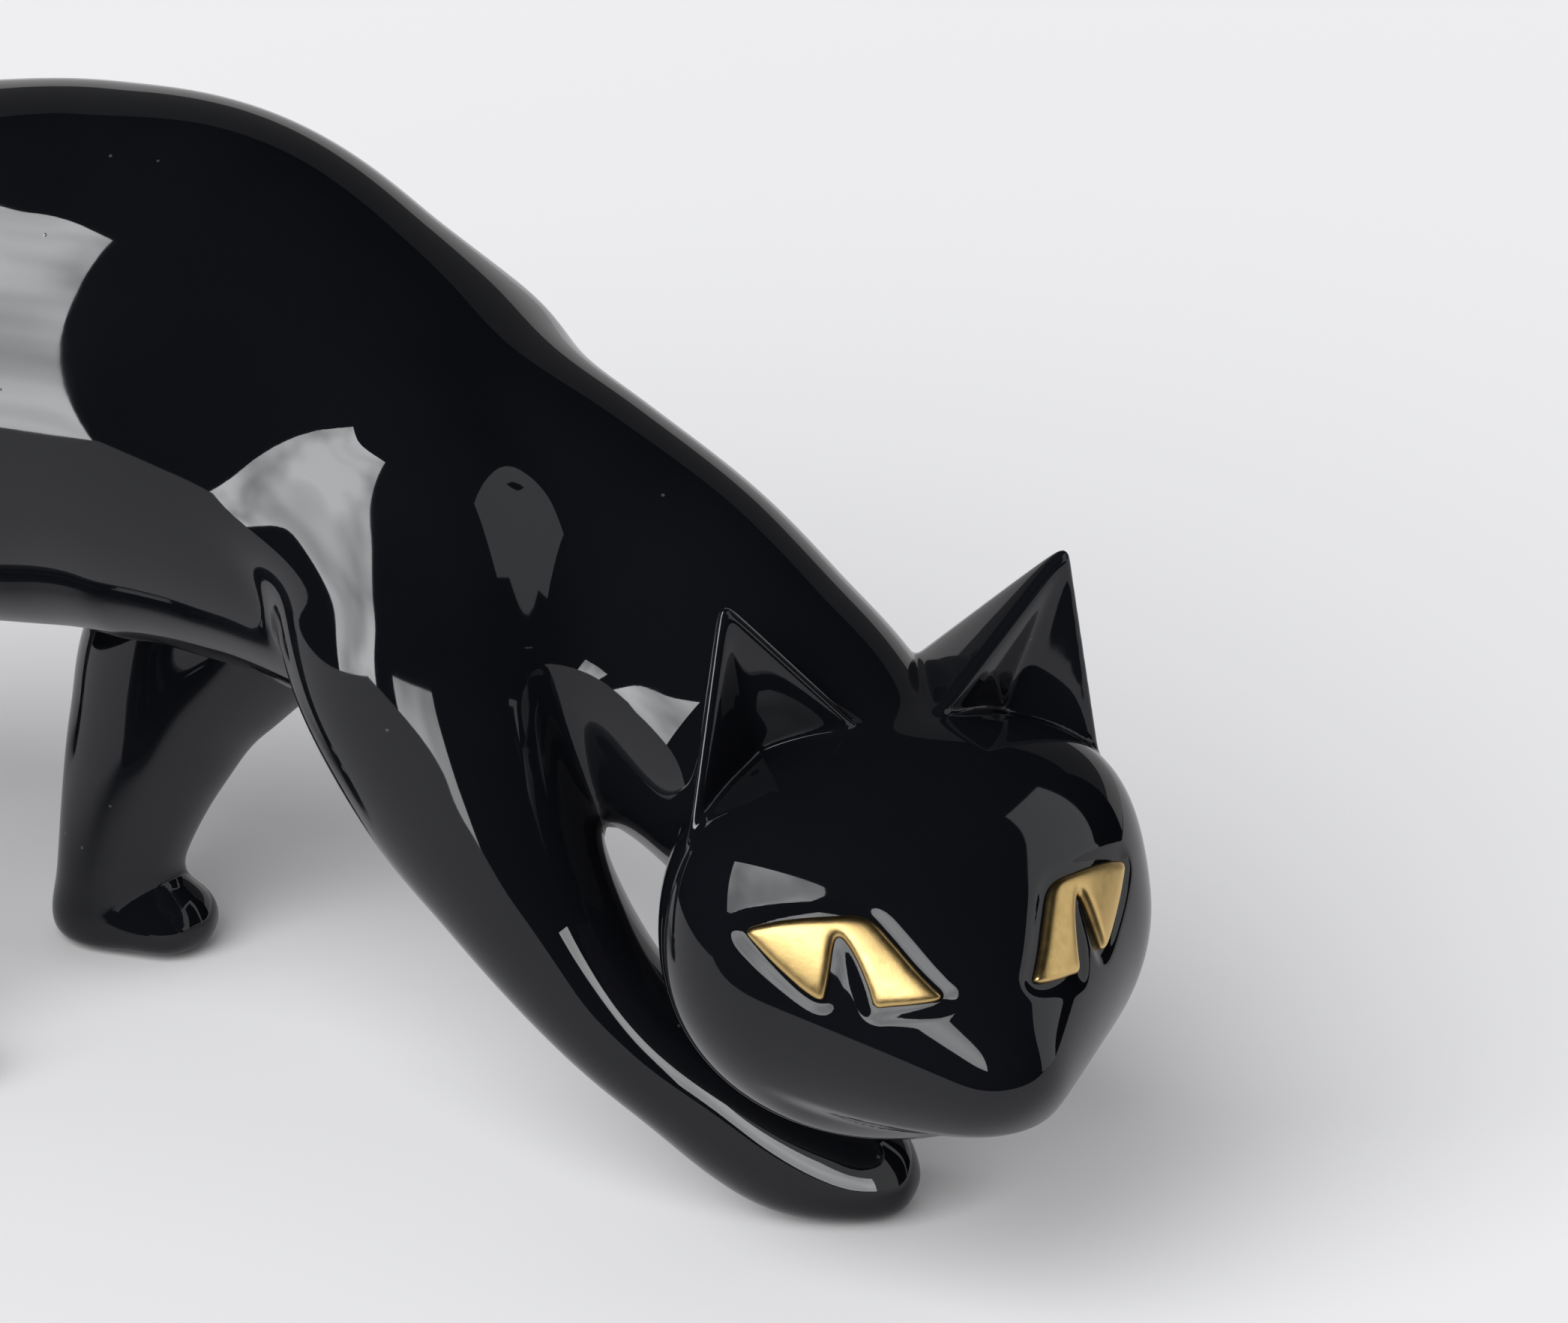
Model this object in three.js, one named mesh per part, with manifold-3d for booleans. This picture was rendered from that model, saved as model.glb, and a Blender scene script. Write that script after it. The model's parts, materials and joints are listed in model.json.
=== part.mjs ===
// Prowling cat figurine in slip-cast, black-glazed ceramic with gold lustre eyes.
// Millimetres, +Z up, +X the way the cat walks, +Y the cat's left. The origin is the middle of
// the footprint on the ground. Each casting is a thin-walled shell, luted to the torso at a seam.
import * as THREE from 'three';
import { mergeVertices } from 'three/addons/utils/BufferGeometryUtils.js';
import Module from 'manifold-3d';

const wasm = await Module();
wasm.setup();

// Driving dimensions
const WALL = 5;                  // cast wall of the torso and the head
const LIMB_WALL = 3.5;           // cast wall of the legs and the tail
const LEAST_HOLLOW = 5.5;        // a limb thinner than this inside its wall is cast solid
const JOINT_GAP = 0.3;           // slip-filled joint between two castings
const VENT_RADIUS = 2.5;         // firing vent in the belly
const VENT_CENTRE = [-8, 0, 84];
const BODY_SEGMENTS = 26;        // facets round a section
const LIMB_SEGMENTS = 16;
const HEAD_SEGMENTS = 30;
const HOLLOW_SEGMENTS = 14;
const HEAD_CENTRE = new THREE.Vector3(162.3, -28, 63.6);
const HEAD_YAW = -40;            // degrees, the head turned to the cat's right
const HEAD_PITCH = 15.5;         // degrees, the face lifted
const LUSTRE_THICKNESS = 0.9;    // raised gold eye relief
const FACE_SHIFT = -2.2;         // the eyes sit a little to the cat's right

// Stations: centre x, y, z, then the half-widths across and along the section's reference
const TORSO = [
  [-158, 0, 112, 9, 13],
  [-150, 0, 112, 21, 26],
  [-133, 0, 113, 31, 36],
  [-110, 0, 116, 36, 42.5],
  [-80, 0, 121, 37.5, 46],
  [-50, 0, 125.5, 38, 48],
  [-25, 0, 129.2, 38, 49.6],
  [-5, 0, 131.3, 38, 50.2],
  [15, 0, 129.8, 38, 50.5],
  [37, 0, 122.3, 36.5, 45.4],
  [60, -1, 112.3, 33.5, 39.8],
  [83, -2, 105, 30, 35.8],
  [104, -4, 97.6, 27, 33],
  [121, -8, 89.6, 25.5, 30.8],
  [136, -13, 81, 25, 30],
  [150, -20, 70, 24, 26],
  [160, -26, 63, 16, 18],
];
const RIGHT_FORELEG = [
  [46, -16, 150, 5, 8],
  [52, -17.5, 143, 10, 14.5],
  [58, -21.5, 133.5, 13, 20.5],
  [64, -27.5, 119, 15, 25],
  [71, -31, 100, 16, 25],
  [80.8, -31, 77, 15.5, 21.2],
  [90, -30.5, 61.2, 14.5, 16.4],
  [99.8, -29, 46.9, 13.5, 13.3],
  [109, -27, 36, 13, 11.5],
  [118.6, -23.5, 26.6, 12.7, 10.8],
  [128.4, -18.5, 16.5, 12.5, 10.8],
  [138.2, -13, 9, 12.4, 10.9],
  [147, -8, 6, 11.6, 10.3],
  [152, -5.3, 5.5, 9, 8],
];
const LEFT_FORELEG = [
  [62, 15, 141, 5, 7],
  [60, 18, 137, 9, 12],
  [55, 22, 128.5, 12, 17.5],
  [45, 28, 117, 14, 23],
  [26, 33, 98, 14.5, 22],
  [7, 35, 78, 14, 20.5],
  [-11.5, 36, 61, 13.5, 21],
  [-20.4, 36.5, 43, 12.5, 17],
  [-26.4, 37, 26, 11.5, 13.5],
  [-29.3, 37, 13, 11, 11.7],
  [-30.5, 37, -2, 11, 12],
];
const LEFT_FOREPAW = [
  [-39.5, 37, 4, 7, 7],
  [-34, 37, 4.5, 10.5, 9],
  [-24, 37, 4.5, 11, 9],
  [-16, 37, 4.5, 10.5, 9],
  [-11.5, 37, 4.5, 8, 7],
];
const RIGHT_HINDLEG = [
  [-118, -20, 148, 7, 12],
  [-116, -24, 138, 12, 22],
  [-110, -28, 122, 15, 29],
  [-99, -31, 103, 16, 28],
  [-85, -34, 84, 15.5, 23],
  [-74, -36, 66, 13.5, 17.5],
  [-70, -37, 48, 11.5, 12.5],
  [-66, -37, 33, 10.5, 11],
  [-58, -37, 19, 10, 10.5],
  [-50, -37, 9, 10, 10],
  [-45, -37, -2, 10, 10],
];
const RIGHT_HINDPAW = [
  [-57, -37, 4, 7, 7],
  [-50, -37, 4.5, 10, 9],
  [-36, -37, 4.5, 11, 9],
  [-27, -37, 4.5, 10.5, 9],
  [-22.5, -37, 4.5, 8, 7],
];
const LEFT_HINDLEG = [
  [-112, 20, 146, 7, 12],
  [-112, 24, 137, 12, 22],
  [-111, 28, 122, 15, 29],
  [-110, 31, 103, 16, 27],
  [-114, 33, 84, 15.5, 21.5],
  [-124, 35, 66, 13.5, 16.5],
  [-137, 36, 50, 11.5, 12.5],
  [-149, 36, 36, 10.5, 11],
  [-159, 36, 22, 10, 10.5],
  [-166, 36, 10, 10, 10],
  [-169, 36, -2, 10, 10],
];
const LEFT_HINDPAW = [
  [-181, 36, 4, 7, 7],
  [-174, 36, 4.5, 10, 9],
  [-161, 36, 4.5, 11, 9],
  [-152, 36, 4.5, 10.5, 9],
  [-147.5, 36, 4.5, 8, 7],
];
const TAIL = [
  [-132, 0, 122, 13, 14],
  [-150, 0, 122, 12.5, 13.5],
  [-166, 1, 114, 11, 11.5],
  [-182, 3, 100, 10, 10],
  [-198, 6, 84, 9.2, 9.2],
  [-216, 9, 71, 8.6, 8.6],
  [-236, 12, 63, 8, 8],
  [-257, 14, 63, 7.5, 7.5],
  [-273, 15, 71, 7, 7],
  [-281, 15, 81, 5, 5],
];
// In the head's own frame: +X out of the face, +Y the cat's left, +Z the crown
const CRANIUM = { centre: [0, 0, 1], front: 29, back: 33, side: 43.6, up: 35.5, down: 36, crown: 0.6 };
const MUZZLE = { centre: [13.5, 0.4, -20], front: 27, back: 30, side: 17.5, up: 21, down: 15, crown: 0 };
const EAR = {
  tip: [11.2, 31.4, 60.5],
  outer: [1, 37.8, 21],
  valley: [-6, 20, 26],
  inner: [3.5, 1, 29],
  back: [-76, -3, 35],
};
// Left eye as seen from in front: [left, up] from the middle of the head
const EYE = {
  outerCorner: [34.2, 8.2],
  topOuter: [26, 10.8],
  topInner: [16, 8.2],
  innerCorner: [7.8, -6.2],
  pupilInner: [18.2, -6.4],
  pupilTop: [21.6, 5.8],
  pupilOuter: [25, -4.6],
  lowerOuter: [30.4, 0],
};

const glaze = () => new THREE.MeshStandardMaterial({ color: 0x08090b, roughness: 0.06, metalness: 0 });
const lustre = () => new THREE.MeshStandardMaterial({ color: 0xc9a24a, roughness: 0.22, metalness: 1 });

// A skin of rings of points, closed at both ends by a point
function skin(rings, start, end) {
  const count = rings[0].length;
  const points = [start, ...rings.flat(), end];
  const index = [];
  const last = rings.length - 1;
  const at = (ring, k) => 1 + ring * count + (k % count);
  for (let k = 0; k < count; k += 1) {
    index.push(0, at(0, k + 1), at(0, k), points.length - 1, at(last, k), at(last, k + 1));
    for (let ring = 0; ring < last; ring += 1) {
      index.push(at(ring, k), at(ring, k + 1), at(ring + 1, k));
      index.push(at(ring, k + 1), at(ring + 1, k + 1), at(ring + 1, k));
    }
  }
  const geometry = new THREE.BufferGeometry().setFromPoints(points);
  geometry.setIndex(index);
  return geometry;
}

// Elliptical sections set square to the smooth line through the station centres
function loft(stations, { reference, inset = 0, segments = LIMB_SEGMENTS }) {
  const steps = inset > 0 ? 1 : 2;
  const kept = stations.filter(([, , , across, along]) => (
    inset <= 0 || Math.min(across, along) > inset + LEAST_HOLLOW
  ));
  const centres = kept.map(([x, y, z]) => new THREE.Vector3(x, y, z));
  const halves = kept.map(([, , , across, along]) => new THREE.Vector3(across, along, 0));
  const line = new THREE.CatmullRomCurve3(centres, false, 'catmullrom');
  const sizes = new THREE.CatmullRomCurve3(halves, false, 'catmullrom');
  const count = (kept.length - 1) * steps;
  const ring = (step) => {
    const forward = line.getTangent(step / count);
    const along = reference.clone().projectOnPlane(forward).normalize();
    const across = along.clone().cross(forward);
    const size = sizes.getPoint(step / count);
    return Array.from({ length: segments }, (_, k) => {
      const angle = (2 * Math.PI * k) / segments;
      return line.getPoint(step / count)
        .addScaledVector(across, (size.x - inset) * Math.cos(angle))
        .addScaledVector(along, (size.y - inset) * Math.sin(angle));
    });
  };
  const cap = (t, sign) => {
    const size = sizes.getPoint(t);
    return line.getPoint(t).addScaledVector(line.getTangent(t), sign * (Math.min(size.x, size.y) - inset) * 0.45);
  };
  return skin(Array.from({ length: count + 1 }, (_, step) => ring(step)), cap(0, -1), cap(1, 1));
}

// An egg with its own reach on each side of its centre, and `crown` squarer above in front
function egg({ centre, front, back, side, up, down, crown }, inset = 0) {
  const facets = inset > 0 ? HOLLOW_SEGMENTS : HEAD_SEGMENTS;
  const geometry = new THREE.SphereGeometry(1, facets, Math.round(facets * 0.6));
  const point = new THREE.Vector3();
  const { position } = geometry.attributes;
  for (let i = 0; i < position.count; i += 1) {
    point.fromBufferAttribute(position, i);
    const wide = 1 + crown * Math.max(point.z, 0) ** 2 * (0.5 + 0.5 * point.x);
    position.setXYZ(
      i,
      centre[0] + point.x * ((point.x > 0 ? front : back) - inset),
      centre[1] + point.y * (side - inset) * wide,
      centre[2] + point.z * ((point.z > 0 ? up : down) - inset),
    );
  }
  return geometry;
}

// A cone with a valley between two flat panels in front and a round back
function ear({ tip, outer, valley, inner, back }, side) {
  const [top, out, deep, near, rear] = [tip, outer, valley, inner, back].map(
    ([x, y, z]) => new THREE.Vector3(x, y * side, z),
  );
  const behind = new THREE.QuadraticBezierCurve3(near, rear, out).getPoints(8).slice(1, -1);
  const front = [out, out.clone().lerp(deep, 0.5), deep, deep.clone().lerp(near, 0.5), near];
  const around = [...front, ...behind];
  if (side > 0) around.reverse();
  const rings = [0, 0.25, 0.5, 0.75, 0.93].map((t) => around.map((p) => p.clone().lerp(top, t)));
  const foot = around.reduce((sum, p) => sum.add(p), new THREE.Vector3()).divideScalar(around.length);
  return skin(rings, foot, top);
}

// The almond of an eye seen from in front, with the slit pupil cut into its lower edge
function eyeOutline(side) {
  const at = ([left, up]) => [side * left + FACE_SHIFT, up];
  const shape = new THREE.Shape();
  shape.moveTo(...at(EYE.outerCorner));
  shape.quadraticCurveTo(...at(EYE.topOuter), ...at(EYE.topInner));
  for (const corner of [EYE.innerCorner, EYE.pupilInner, EYE.pupilTop, EYE.pupilOuter]) {
    shape.lineTo(...at(corner));
  }
  shape.quadraticCurveTo(...at(EYE.lowerOuter), ...at(EYE.outerCorner));
  return shape;
}

// The outline pushed along the face's own +X
function eyePrism(side) {
  const geometry = new THREE.ExtrudeGeometry(eyeOutline(side), { depth: 60, bevelEnabled: false, curveSegments: 6 });
  return geometry.rotateY(Math.PI / 2).rotateX(Math.PI / 2);
}

function solid(geometry, matrix = new THREE.Matrix4()) {
  const bare = geometry.clone().applyMatrix4(matrix);
  bare.deleteAttribute('normal');
  bare.deleteAttribute('uv');
  const merged = mergeVertices(bare);
  return new wasm.Manifold(new wasm.Mesh({
    numProp: 3,
    vertProperties: merged.attributes.position.array,
    triVerts: new Uint32Array(merged.index.array),
  }));
}

const join = (solids) => solids.reduce((all, next) => all.add(next));

const headFrame = new THREE.Matrix4().makeRotationFromEuler(new THREE.Euler(
  0,
  THREE.MathUtils.degToRad(-HEAD_PITCH),
  THREE.MathUtils.degToRad(HEAD_YAW),
  'ZYX',
)).setPosition(HEAD_CENTRE);

const UP = new THREE.Vector3(0, 0, 1);
const FORE = new THREE.Vector3(1, 0, 0);
const FORE_AND_UP = new THREE.Vector3(1, 0, 1).normalize();

const LIMBS = [
  [RIGHT_FORELEG, FORE_AND_UP],
  [LEFT_FORELEG, FORE],
  [RIGHT_HINDLEG, FORE],
  [LEFT_HINDLEG, FORE],
  [TAIL, UP],
];
const PAWS = [LEFT_FOREPAW, RIGHT_HINDPAW, LEFT_HINDPAW];

function limbSolid(stations, reference, inset = 0) {
  const segments = inset > 0 ? HOLLOW_SEGMENTS : LIMB_SEGMENTS;
  return solid(loft(stations, { reference, inset, segments }));
}

function torsoSolid(inset) {
  const segments = inset > 0 ? HOLLOW_SEGMENTS : BODY_SEGMENTS;
  return solid(loft(TORSO, { reference: UP, inset, segments }));
}

// The face runs straight from the brow and the cheeks to the muzzle
function headSolid(inset) {
  return wasm.Manifold.hull([CRANIUM, MUZZLE].map((shape) => solid(egg(shape, inset), headFrame)));
}

function block(width, depth, height, centre) {
  return solid(new THREE.BoxGeometry(width, depth, height).translate(...centre));
}

// Where each casting was cut from the torso: a slit square to `toward`, `width` wide.
// `near` is a point close to the middle of the casting that the slit sets free.
const SEAMS = {
  head_casting: { at: [126, -10, 86], toward: [0.8, -0.33, -0.5], width: 76, near: [162, -28, 64] },
  right_foreleg_casting: { at: [96, -30, 53], toward: [0.62, 0.1, -0.78], width: 38, near: [125, -20, 25] },
  left_foreleg_casting: { at: [-9, 36, 61], toward: [-0.6, 0.05, -0.8], width: 52, near: [-25, 37, 28] },
  right_hindleg_casting: { at: [-78, -36, 73], toward: [0.35, -0.05, -0.93], width: 54, near: [-55, -37, 32] },
  left_hindleg_casting: { at: [-119, 34, 74], toward: [-0.4, 0.05, -0.92], width: 50, near: [-155, 36, 32] },
  tail_casting: { at: [-168, 1, 112.5], toward: [-0.76, 0.05, -0.65], width: 34, near: [-230, 8, 85] },
};

function slit({ at, toward, width }) {
  const turn = new THREE.Quaternion().setFromUnitVectors(UP, new THREE.Vector3(...toward).normalize());
  const matrix = new THREE.Matrix4().compose(new THREE.Vector3(...at), turn, new THREE.Vector3(1, 1, 1));
  return solid(new THREE.BoxGeometry(width, width, JOINT_GAP), matrix);
}

const vent = solid(new THREE.CylinderGeometry(VENT_RADIUS, VENT_RADIUS, 30, 16)
  .rotateX(Math.PI / 2).translate(...VENT_CENTRE));
const aboveGround = block(800, 300, 400, [0, 0, 200]);
const aboveSoles = block(800, 300, 400, [0, 0, 200 + LIMB_WALL]);
const outside = join([
  torsoSolid(0),
  headSolid(0),
  ...LIMBS.map(([stations, reference]) => limbSolid(stations, reference)),
  ...PAWS.map((stations) => limbSolid(stations, UP)),
]).intersect(aboveGround);
// The slip leaves one hollow through the torso, head, legs and the root of the tail
const inside = join([
  torsoSolid(WALL),
  headSolid(WALL),
  ...LIMBS.map(([stations, reference]) => limbSolid(stations, reference, LIMB_WALL)),
]).intersect(aboveSoles);
const slits = join(Object.values(SEAMS).map(slit));
const castings = outside.subtract(inside).subtract(slits).subtract(vent).decompose();

function middle(part) {
  const { min, max } = part.boundingBox();
  return new THREE.Vector3(...min).add(new THREE.Vector3(...max)).multiplyScalar(0.5);
}

function takeCasting(near) {
  const point = new THREE.Vector3(...near);
  castings.sort((a, b) => middle(a).distanceTo(point) - middle(b).distanceTo(point));
  return castings.shift();
}

const parts = {};
for (const [name, seam] of Object.entries(SEAMS)) parts[name] = takeCasting(seam.near);
parts.torso_casting = castings.shift();

const earSeat = headSolid(-JOINT_GAP).add(torsoSolid(-JOINT_GAP));
parts.right_ear = solid(ear(EAR, -1), headFrame).subtract(earSeat);
parts.left_ear = solid(ear(EAR, 1), headFrame).subtract(earSeat);
const lustreSkin = headSolid(-JOINT_GAP - LUSTRE_THICKNESS).subtract(headSolid(-JOINT_GAP));
parts.right_eye_gilding = solid(eyePrism(-1), headFrame).intersect(lustreSkin);
parts.left_eye_gilding = solid(eyePrism(1), headFrame).intersect(lustreSkin);

function meshOf(name, part) {
  const { vertProperties, triVerts } = part.getMesh();
  const geometry = new THREE.BufferGeometry();
  geometry.setAttribute('position', new THREE.BufferAttribute(vertProperties, 3));
  geometry.setIndex(new THREE.BufferAttribute(triVerts, 1));
  const mesh = new THREE.Mesh(geometry, name.includes('gilding') ? lustre() : glaze());
  mesh.name = name;
  return mesh;
}

const cat = new THREE.Group();
for (const [name, part] of Object.entries(parts)) {
  cat.add(meshOf(name, part));
}
const footprint = new THREE.Box3().setFromObject(cat).getCenter(new THREE.Vector3());
cat.position.set(-footprint.x, -footprint.y, 0);
const group = new THREE.Group();
group.add(cat);

export default group;
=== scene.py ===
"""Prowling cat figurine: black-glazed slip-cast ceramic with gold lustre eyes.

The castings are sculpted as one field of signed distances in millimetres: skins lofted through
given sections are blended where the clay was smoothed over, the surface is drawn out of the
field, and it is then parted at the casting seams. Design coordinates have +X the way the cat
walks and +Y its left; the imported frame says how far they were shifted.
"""
import json
import math
from itertools import product

import bmesh
import bpy
import numpy as np
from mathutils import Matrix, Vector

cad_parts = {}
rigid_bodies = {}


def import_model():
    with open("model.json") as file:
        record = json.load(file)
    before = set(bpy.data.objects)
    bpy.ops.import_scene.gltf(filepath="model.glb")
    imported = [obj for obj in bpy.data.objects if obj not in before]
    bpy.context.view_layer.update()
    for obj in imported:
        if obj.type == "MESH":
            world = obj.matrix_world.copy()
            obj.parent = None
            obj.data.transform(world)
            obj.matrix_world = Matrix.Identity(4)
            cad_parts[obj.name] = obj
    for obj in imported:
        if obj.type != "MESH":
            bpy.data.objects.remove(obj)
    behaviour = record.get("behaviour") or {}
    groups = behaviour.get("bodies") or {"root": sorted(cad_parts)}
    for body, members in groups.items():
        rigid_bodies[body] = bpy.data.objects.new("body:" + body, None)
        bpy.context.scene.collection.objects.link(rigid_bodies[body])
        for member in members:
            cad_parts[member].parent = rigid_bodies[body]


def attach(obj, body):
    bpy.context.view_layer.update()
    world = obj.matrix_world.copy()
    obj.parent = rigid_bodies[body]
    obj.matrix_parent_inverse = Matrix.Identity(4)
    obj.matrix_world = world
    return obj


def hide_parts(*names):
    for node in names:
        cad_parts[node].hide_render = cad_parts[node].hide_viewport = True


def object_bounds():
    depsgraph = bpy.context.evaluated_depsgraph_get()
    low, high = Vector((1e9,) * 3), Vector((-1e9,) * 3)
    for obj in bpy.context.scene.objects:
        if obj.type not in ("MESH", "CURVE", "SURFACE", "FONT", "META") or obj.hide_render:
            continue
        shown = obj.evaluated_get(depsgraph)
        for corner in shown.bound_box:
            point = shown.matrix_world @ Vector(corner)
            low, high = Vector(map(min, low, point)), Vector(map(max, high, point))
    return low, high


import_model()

import openvdb
from mathutils import Euler, Vector
from mathutils.geometry import tessellate_polygon

CAD_BOX = [list(corner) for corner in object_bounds()]

# ---------------------------------------------------------------- sections, in millimetres
# centre x, y, z, then the half-widths across and along the section's reference
TORSO = (
    (-158, 0, 112, 9, 13),
    (-150, 0, 112, 21, 26),
    (-133, 0, 113, 31, 36),
    (-110, 0, 116, 36, 42.5),
    (-80, 0, 121, 37.5, 46),
    (-50, 0, 125.5, 38, 48),
    (-25, 0, 129.2, 38, 49.2),
    (-5, 0, 131.3, 38, 49.8),
    (15, 0, 129.8, 38, 50.1),
    (37, 0, 122.3, 36.5, 45.4),
    (60, -1, 112.3, 33.5, 39.8),
    (83, -2, 105, 30, 35.8),
    (104, -4, 97.6, 27, 33),
    (121, -8, 89.6, 25.5, 30.8),
    (136, -13, 81, 25, 30),
    (150, -20, 70, 24, 26),
    (160, -26, 63, 16, 18),
)
RIGHT_FORELEG = (
    (50, -14, 145, 5, 8),
    (54, -16, 138, 10, 14),
    (59, -20.5, 129, 13, 20),
    (64, -26, 119, 15, 26),
    (71, -31, 100, 16, 25),
    (80.8, -31, 77, 15.5, 21.2),
    (90, -30.5, 61.2, 14.5, 16.4),
    (99.8, -29, 46.9, 13.5, 13.3),
    (109, -27, 36, 13, 11.5),
    (118.6, -23.5, 26.6, 12.7, 10.8),
    (128.4, -18.5, 16.5, 12.5, 10.8),
    (138.2, -13, 9, 12.4, 10.9),
    (147, -8, 6, 11.6, 10.3),
    (152, -5.3, 5.5, 9, 8),
)
LEFT_FORELEG = (
    (62, 15, 141, 5, 7),
    (60, 18, 137, 9, 12),
    (55, 22, 128.5, 12, 17.5),
    (45, 28, 117, 14, 23),
    (26, 33, 98, 14.5, 22),
    (7, 35, 78, 14, 20.5),
    (-11.5, 36, 61, 13.5, 21),
    (-20.4, 36.5, 43, 12.5, 17),
    (-26.4, 37, 26, 11.5, 13.5),
    (-29.3, 37, 13, 11, 11.7),
    (-30.5, 37, -2, 11, 12),
)
LEFT_FOREPAW = (
    (-39.5, 37, 4, 7, 7),
    (-34, 37, 4.5, 10.5, 9),
    (-24, 37, 4.5, 11, 9),
    (-16, 37, 4.5, 10.5, 9),
    (-11.5, 37, 4.5, 8, 7),
)
RIGHT_HINDLEG = (
    (-118, -20, 148, 7, 12),
    (-116, -24, 138, 12, 22),
    (-110, -28, 122, 15, 29),
    (-99, -31, 103, 16, 28),
    (-85, -34, 84, 15.5, 23),
    (-74, -36, 66, 13.5, 17.5),
    (-70, -37, 48, 11.5, 12.5),
    (-66, -37, 33, 10.5, 11),
    (-58, -37, 19, 10, 10.5),
    (-50, -37, 9, 10, 10),
    (-45, -37, -2, 10, 10),
)
RIGHT_HINDPAW = (
    (-57, -37, 4, 7, 7),
    (-50, -37, 4.5, 10, 9),
    (-36, -37, 4.5, 11, 9),
    (-27, -37, 4.5, 10.5, 9),
    (-22.5, -37, 4.5, 8, 7),
)
LEFT_HINDLEG = (
    (-112, 20, 146, 7, 12),
    (-112, 24, 137, 12, 22),
    (-111, 28, 122, 15, 29),
    (-110, 31, 103, 16, 27),
    (-114, 33, 84, 15.5, 21.5),
    (-124, 35, 66, 13.5, 16.5),
    (-137, 36, 50, 11.5, 12.5),
    (-149, 36, 36, 10.5, 11),
    (-159, 36, 22, 10, 10.5),
    (-166, 36, 10, 10, 10),
    (-169, 36, -2, 10, 10),
)
LEFT_HINDPAW = (
    (-181, 36, 4, 7, 7),
    (-174, 36, 4.5, 10, 9),
    (-161, 36, 4.5, 11, 9),
    (-152, 36, 4.5, 10.5, 9),
    (-147.5, 36, 4.5, 8, 7),
)
TAIL = (
    (-132, 0, 122, 13, 14),
    (-150, 0, 122, 12.5, 13.5),
    (-166, 1, 114, 11, 11.5),
    (-182, 3, 100, 10, 10),
    (-198, 6, 84, 9.2, 9.2),
    (-216, 9, 71, 8.6, 8.6),
    (-236, 12, 63, 8, 8),
    (-257, 14, 63, 7.5, 7.5),
    (-273, 15, 71, 7, 7),
    (-281, 15, 81, 5, 5),
)
UP = np.array([0.0, 0.0, 1.0])
FORE = np.array([1.0, 0.0, 0.0])
FORE_AND_UP = np.array([1.0, 0.0, 1.0]) / math.sqrt(2)

# The head in its own frame: +X out of the face, +Y the cat's left, +Z the crown
HEAD_CENTRE = np.array([162.3, -28.0, 63.6])
HEAD_YAW = -40
HEAD_PITCH = 15.5
HEAD_TURN = np.array(Euler((0, math.radians(-HEAD_PITCH), math.radians(HEAD_YAW)), "XYZ").to_matrix())
CRANIUM = dict(centre=(0, 0, 1), front=29, back=33, side=43.6, up=35.5, down=36, crown=0.6)
MUZZLE = dict(centre=(13.5, 0.4, -20), front=27, back=30, side=17.5, up=21, down=15, crown=0)
EAR_TIP = (11, 31.4, 60.6)
EAR_FRONT = ((1, 37.8, 21), (-7, 20, 25.5), (3.5, 1, 29))
EAR_BACK = (-76, -3, 35)
# Left eye as seen from in front: (left, up) from the middle of the face
FACE_SHIFT = -2.2
EYE = ((34.1, 8.1), (31, 9.2), (27, 9.5), (22.5, 9.4), (18.2, 9), (15.7, 7.6), (13.6, 4.2), (11, -0.6),
       (9, -3.8), (7.9, -5.6), (9.2, -6.3), (12, -6.5), (16, -6.5), (18.1, -6.3), (18.7, -3), (19.5, 1),
       (20.5, 4.2), (21.6, 5.8), (22.6, 3.4), (23.5, 0), (24.3, -3), (25, -4.6), (27, -3.2), (30, 0.6),
       (32.6, 4.6))

# Casting seams: a point of the cut, the way the freed casting lies, and a point well inside it
SEAMS = {
    "head_casting": ((126, -10, 86), (0.8, -0.33, -0.5), (162, -28, 64)),
    "right_foreleg_casting": ((96, -30, 53), (0.62, 0.1, -0.78), (125, -20, 20)),
    "left_foreleg_casting": ((-9, 36, 61), (-0.6, 0.05, -0.8), (-25, 37, 28)),
    "right_hindleg_casting": ((-78, -36, 73), (0.35, -0.05, -0.93), (-66, -37, 33)),
    "left_hindleg_casting": ((-119, 34, 74), (-0.4, 0.05, -0.92), (-149, 36, 36)),
    "tail_casting": ((-168, 1, 112.5), (-0.76, 0.05, -0.65), (-216, 9, 71)),
}


# ---------------------------------------------------------------- skins
def spline(points, t):
    """Catmull-Rom through the points, at t in 0..len-1."""
    padded = np.vstack([2 * points[0] - points[1], points, 2 * points[-1] - points[-2]])
    i = np.clip(np.floor(t).astype(int), 0, len(points) - 2)
    u = (t - i)[:, None]
    a, b, c, d = (padded[i + k] for k in range(4))
    return 0.5 * (2 * b + (c - a) * u + (2 * a - 5 * b + 4 * c - d) * u ** 2
                  + (3 * b - a - 3 * c + d) * u ** 3)


def tube(count, around):
    """Triangles between `count` rings of `around` points, numbered ring by ring."""
    ring, k = np.meshgrid(np.arange(count - 1), np.arange(around), indexing="ij")
    a = ring * around + k
    b = ring * around + (k + 1) % around
    return np.vstack([np.stack([a, b, a + around], -1).reshape(-1, 3),
                      np.stack([b, b + around, a + around], -1).reshape(-1, 3)])


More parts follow.
